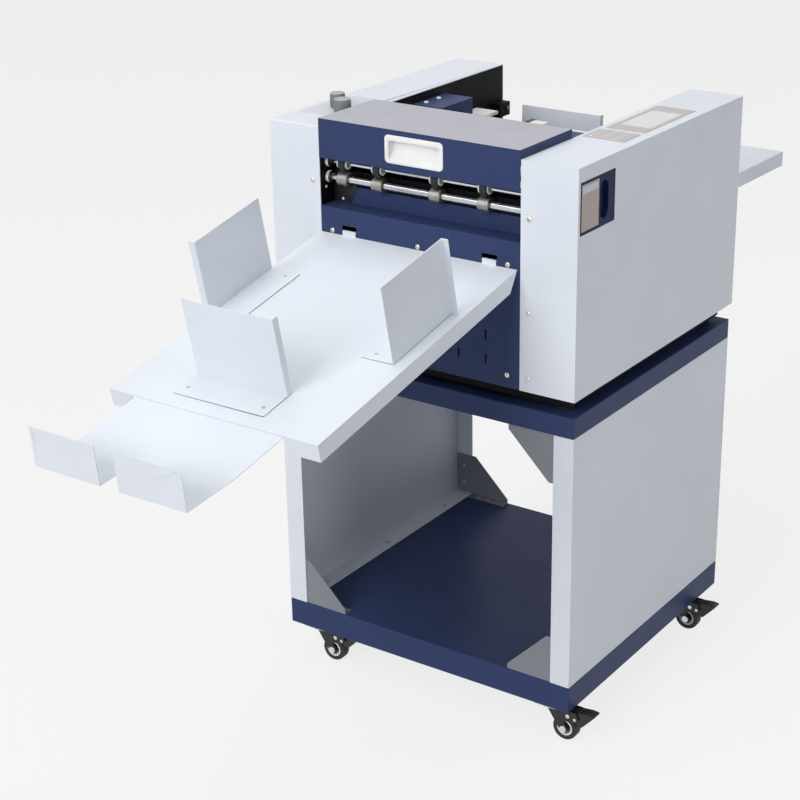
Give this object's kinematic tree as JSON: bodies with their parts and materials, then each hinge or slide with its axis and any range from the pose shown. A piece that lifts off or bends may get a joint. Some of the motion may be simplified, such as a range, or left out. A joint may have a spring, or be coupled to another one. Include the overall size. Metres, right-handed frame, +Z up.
{
  "type": "paper creasing machine",
  "caption": "Sheet-fed paper creasing machine on a wheeled trolley, with a sloping delivery tray, sliding paper guides, a feed table and a hinged roller cover.",
  "frame": {"origin": "bottom centre of the whole, on the floor", "axes": "+Z up, -Y towards the delivery tray, +Y towards the feed table, +X towards the cabinet with the display"},
  "size_m": [0.684, 1.8691, 1.1237],
  "materials": {
    "white_paint": "satin powder coat",
    "navy_paint": "satin powder coat",
    "grey_paint": "satin powder coat",
    "black_paint": "matt powder coat",
    "steel": "ground",
    "zinc": "bright zinc plate",
    "aluminium": "machined",
    "white_plastic": "moulded",
    "black_plastic": "fine moulded grain",
    "panel_film": "printed polyester film",
    "tyre_rubber": "matt",
    "roller_rubber": "ground rubber",
    "collar_grip": "knurled grip",
    "belt_rubber": "matt",
    "foot_rubber": "matt"
  },
  "bodies": {
    "machine": {"trolley_base": "navy_paint", "trolley_shelf": "navy_paint", "trolley_left_panel": "white_paint", "trolley_right_panel": "white_paint", "gussets": "grey_paint", "caster_plates": "zinc", "chassis_base": "black_paint", "rubber_feet": "foot_rubber", "left_side_cover": "white_paint", "right_side_cover": "white_paint", "left_side_frame": "black_paint", "right_side_frame": "black_paint", "shaft_bearings": "white_plastic", "front_apron": "navy_paint", "rear_panel": "navy_paint", "cover_hinge_pins": "steel", "crease_anvil": "steel", "feed_bridge": "navy_paint", "drive_motor": "aluminium", "drive_belts": "belt_rubber", "control_panel": "panel_film", "mains_inlet": "black_plastic", "delivery_tray": "white_paint", "feed_table": "white_paint", "cover_screws": "steel"},
    "cover": {"top_cover": "navy_paint", "cover_handle": "white_plastic"},
    "exit_drive": {"exit_drive_shaft": "steel", "exit_collars": "collar_grip"},
    "exit_idler": {"exit_idler_rollers": "roller_rubber"},
    "infeed": {"infeed_roller": "roller_rubber"},
    "pressure": {"pressure_roller": "steel"},
    "motor_drive": {"motor_pulley": "steel"},
    "cams": {"cam_shaft": "steel"},
    "creaser": {"crease_beam": "steel"},
    "door": {"access_door": "navy_paint"},
    "front_knob": {"front_adjust_knob": "black_plastic"},
    "rear_knob": {"rear_adjust_knob": "black_plastic"},
    "rocker": {"power_switch": "black_plastic"},
    "extension": {"delivery_extension": "white_paint"},
    "left_guide": {"left_paper_guide": "white_paint"},
    "right_guide": {"right_paper_guide": "white_paint"},
    "front_stop": {"front_paper_stop": "white_paint"},
    "backstop": {"feed_backstop": "white_paint"},
    "caster_front_left": {"caster_fork_front_left": "zinc"},
    "wheel_front_left": {"caster_hub_front_left": "white_plastic", "caster_tyre_front_left": "tyre_rubber"},
    "pedal_front_left": {"caster_pedal_front_left": "black_plastic"},
    "caster_front_right": {"caster_fork_front_right": "zinc"},
    "wheel_front_right": {"caster_hub_front_right": "white_plastic", "caster_tyre_front_right": "tyre_rubber"},
    "pedal_front_right": {"caster_pedal_front_right": "black_plastic"},
    "caster_rear_left": {"caster_fork_rear_left": "zinc"},
    "wheel_rear_left": {"caster_hub_rear_left": "white_plastic", "caster_tyre_rear_left": "tyre_rubber"},
    "pedal_rear_left": {"caster_pedal_rear_left": "black_plastic"},
    "caster_rear_right": {"caster_fork_rear_right": "zinc"},
    "wheel_rear_right": {"caster_hub_rear_right": "white_plastic", "caster_tyre_rear_right": "tyre_rubber"},
    "pedal_rear_right": {"caster_pedal_rear_right": "black_plastic"}
  },
  "joints": [
    {"name": "swivel_front_left", "type": "hinge", "parent": "machine", "child": "caster_front_left", "pos_m": [-0.289, -0.1187, 0.065], "axis": [0, 0, 1], "continuous": true},
    {"name": "wheel_spin_front_left", "type": "hinge", "parent": "caster_front_left", "child": "wheel_front_left", "pos_m": [-0.255, -0.1187, 0.025], "axis": [0, 1, 0], "continuous": true},
    {"name": "brake_front_left", "type": "hinge", "parent": "caster_front_left", "child": "pedal_front_left", "pos_m": [-0.246, -0.1187, 0.055], "axis": [0, 1, 0], "range_deg": [0, 10]},
    {"name": "swivel_front_right", "type": "hinge", "parent": "machine", "child": "caster_front_right", "pos_m": [0.245, -0.1187, 0.065], "axis": [0, 0, 1], "continuous": true},
    {"name": "wheel_spin_front_right", "type": "hinge", "parent": "caster_front_right", "child": "wheel_front_right", "pos_m": [0.279, -0.1187, 0.025], "axis": [0, 1, 0], "continuous": true},
    {"name": "brake_front_right", "type": "hinge", "parent": "caster_front_right", "child": "pedal_front_right", "pos_m": [0.288, -0.1187, 0.055], "axis": [0, 1, 0], "range_deg": [0, 10]},
    {"name": "swivel_rear_left", "type": "hinge", "parent": "machine", "child": "caster_rear_left", "pos_m": [-0.289, 0.3763, 0.065], "axis": [0, 0, 1], "continuous": true},
    {"name": "wheel_spin_rear_left", "type": "hinge", "parent": "caster_rear_left", "child": "wheel_rear_left", "pos_m": [-0.255, 0.3763, 0.025], "axis": [0, 1, 0], "continuous": true},
    {"name": "brake_rear_left", "type": "hinge", "parent": "caster_rear_left", "child": "pedal_rear_left", "pos_m": [-0.246, 0.3763, 0.055], "axis": [0, 1, 0], "range_deg": [0, 10]},
    {"name": "swivel_rear_right", "type": "hinge", "parent": "machine", "child": "caster_rear_right", "pos_m": [0.245, 0.3763, 0.065], "axis": [0, 0, 1], "continuous": true},
    {"name": "wheel_spin_rear_right", "type": "hinge", "parent": "caster_rear_right", "child": "wheel_rear_right", "pos_m": [0.279, 0.3763, 0.025], "axis": [0, 1, 0], "continuous": true},
    {"name": "brake_rear_right", "type": "hinge", "parent": "caster_rear_right", "child": "pedal_rear_right", "pos_m": [0.288, 0.3763, 0.055], "axis": [0, 1, 0], "range_deg": [0, 10]},
    {"name": "cover_hinge", "type": "hinge", "parent": "machine", "child": "cover", "pos_m": [-0.022, 0.0013, 1.0885], "axis": [-1, 0, 0], "range_deg": [0, 80]},
    {"name": "exit_drive_spin", "type": "hinge", "parent": "machine", "child": "exit_drive", "pos_m": [-0.022, -0.1217, 0.99965], "axis": [1, 0, 0], "continuous": true},
    {"name": "exit_idler_spin", "type": "hinge", "parent": "machine", "child": "exit_idler", "pos_m": [-0.022, -0.1217, 1.02885], "axis": [1, 0, 0], "continuous": true},
    {"name": "infeed_spin", "type": "hinge", "parent": "machine", "child": "infeed", "pos_m": [-0.022, 0.2813, 1.00315], "axis": [1, 0, 0], "continuous": true},
    {"name": "pressure_spin", "type": "hinge", "parent": "machine", "child": "pressure", "pos_m": [-0.022, 0.2813, 1.02385], "axis": [1, 0, 0], "continuous": true},
    {"name": "motor_spin", "type": "hinge", "parent": "machine", "child": "motor_drive", "pos_m": [-0.022, 0.0513, 0.801], "axis": [1, 0, 0], "continuous": true},
    {"name": "cam_turn", "type": "hinge", "parent": "machine", "child": "cams", "pos_m": [-0.022, -0.0267, 1.0705], "axis": [1, 0, 0], "range_deg": [0, 180]},
    {"name": "crease_stroke", "type": "slide", "parent": "machine", "child": "creaser", "axis": [0, 0, -1], "range_m": [0, 0.007]},
    {"name": "door_hinge", "type": "hinge", "parent": "machine", "child": "door", "pos_m": [0.297, -0.1403, 1.0246], "axis": [0, 0, -1], "range_deg": [0, 100]},
    {"name": "front_knob_turn", "type": "hinge", "parent": "machine", "child": "front_knob", "pos_m": [-0.253, -0.0485, 1.11], "axis": [0, 0, 1], "range_deg": [-135, 135]},
    {"name": "rear_knob_turn", "type": "hinge", "parent": "machine", "child": "rear_knob", "pos_m": [-0.2897, -0.0141, 1.11], "axis": [0, 0, 1], "range_deg": [-135, 135]},
    {"name": "rocker_tilt", "type": "hinge", "parent": "machine", "child": "rocker", "pos_m": [0.243, 0.4593, 0.743], "axis": [1, 0, 0], "range_deg": [0, 8]},
    {"name": "extension_slide", "type": "slide", "parent": "machine", "child": "extension", "axis": [0, -0.9786, -0.2057], "range_m": [-0.11, 0.12]},
    {"name": "left_guide_slide", "type": "slide", "parent": "machine", "child": "left_guide", "axis": [1, 0, 0], "range_m": [0, 0.11]},
    {"name": "right_guide_slide", "type": "slide", "parent": "machine", "child": "right_guide", "axis": [1, 0, 0], "range_m": [-0.11, 0.012]},
    {"name": "front_stop_slide", "type": "slide", "parent": "machine", "child": "front_stop", "axis": [0, -0.9786, -0.2057], "range_m": [-0.12, 0.025]},
    {"name": "backstop_slide", "type": "slide", "parent": "machine", "child": "backstop", "axis": [0, 0.9999, -0.0131], "range_m": [0, 0.35]}
  ],
  "couplings": [
    {"joint": "exit_idler_spin", "follows": "exit_drive_spin", "ratio": -0.75926},
    {"joint": "infeed_spin", "follows": "exit_drive_spin", "ratio": 1},
    {"joint": "pressure_spin", "follows": "exit_drive_spin", "ratio": -1.2222},
    {"joint": "motor_spin", "follows": "exit_drive_spin", "ratio": 1},
    {"joint": "cam_turn", "follows": "crease_stroke", "rad_per_m": 448.79}
  ]
}
